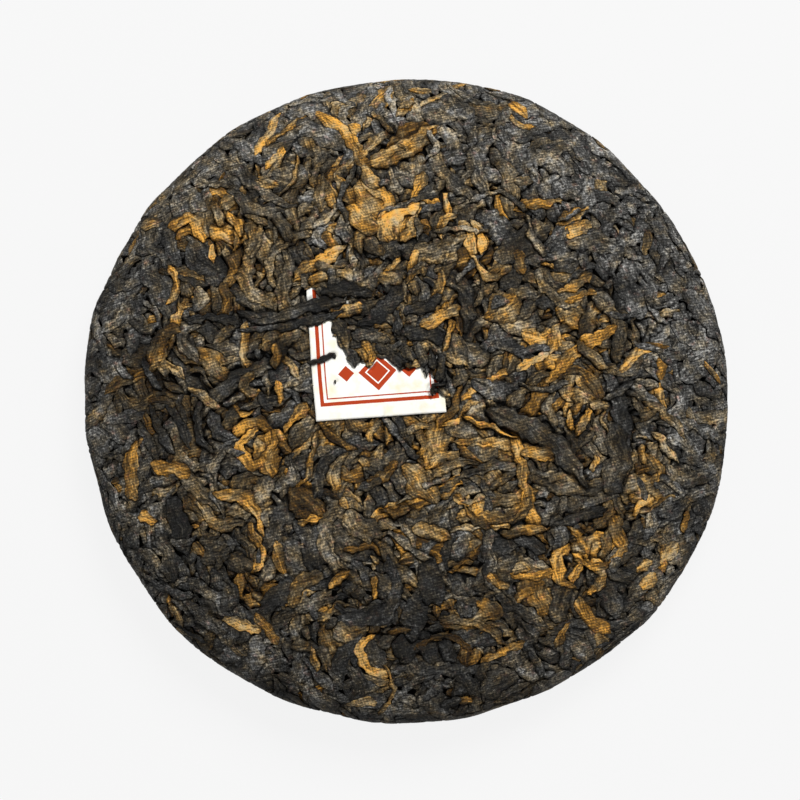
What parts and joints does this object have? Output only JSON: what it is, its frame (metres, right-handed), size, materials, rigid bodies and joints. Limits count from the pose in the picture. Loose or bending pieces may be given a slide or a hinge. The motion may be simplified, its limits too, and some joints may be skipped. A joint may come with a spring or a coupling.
{
  "type": "pu-erh tea cake",
  "caption": "Round cake of pressed pu-erh tea leaves with a domed face, a round rim, a knot hollow in the back and a small square paper ticket pressed under the surface leaves.",
  "frame": {"origin": "centre of the cake's outline, on the flat ring of the back that it rests on", "axes": "+Z out of the face, along the cake's thickness; +Y towards the top edge of the paper ticket, which is the top of the picture"},
  "size_m": [0.1076, 0.1082, 0.0174],
  "materials": {
    "pressed_tea": "dry pressed leaves, charcoal and olive brown with golden buds, matte with a faint sheen on the leaf tops",
    "ticket_paper": "thin uncoated cream paper with a plain brick red print"
  },
  "bodies": {
    "root": {"tea_cake": "pressed_tea", "paper_ticket": "ticket_paper"}
  },
  "joints": []
}
